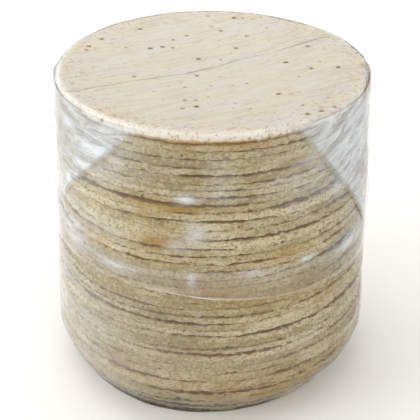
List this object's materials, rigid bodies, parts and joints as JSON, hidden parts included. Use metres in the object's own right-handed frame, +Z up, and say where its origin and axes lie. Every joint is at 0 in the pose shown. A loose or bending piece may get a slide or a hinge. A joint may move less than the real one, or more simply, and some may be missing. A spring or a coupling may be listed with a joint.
{
  "type": "corn tortilla stack",
  "caption": "Tall round stack of small corn tortillas in clear film, rounded at its lower edge and flat on top, to stand on a table or shelf as food.",
  "frame": {"origin": "centre of the underside, on the surface that the stack stands on", "axes": "+Z up through the stack, -Y towards its front, +X to its right seen from the front"},
  "size_m": [0.113, 0.1124, 0.111],
  "materials": {
    "tortilla": "matt, dry baked dough",
    "film": "clear, thin and glossy"
  },
  "bodies": {
    "root": {"tortilla_01": "tortilla", "tortilla_02": "tortilla", "tortilla_03": "tortilla", "tortilla_04": "tortilla", "tortilla_05": "tortilla", "tortilla_06": "tortilla", "tortilla_07": "tortilla", "tortilla_08": "tortilla", "tortilla_09": "tortilla", "tortilla_10": "tortilla", "tortilla_11": "tortilla", "tortilla_12": "tortilla", "tortilla_13": "tortilla", "tortilla_14": "tortilla", "tortilla_15": "tortilla", "tortilla_16": "tortilla", "tortilla_17": "tortilla", "tortilla_18": "tortilla", "tortilla_19": "tortilla", "tortilla_20": "tortilla", "tortilla_21": "tortilla", "tortilla_22": "tortilla", "tortilla_23": "tortilla", "tortilla_24": "tortilla", "tortilla_25": "tortilla", "tortilla_26": "tortilla", "tortilla_27": "tortilla", "tortilla_28": "tortilla", "tortilla_29": "tortilla", "tortilla_30": "tortilla", "tortilla_31": "tortilla", "tortilla_32": "tortilla", "tortilla_33": "tortilla", "tortilla_34": "tortilla", "tortilla_35": "tortilla", "tortilla_36": "tortilla", "tortilla_37": "tortilla", "tortilla_38": "tortilla", "tortilla_39": "tortilla", "tortilla_40": "tortilla", "film_lower": "film", "film_upper": "film", "film_ear_left": "film", "film_ear_right": "film"}
  },
  "joints": []
}
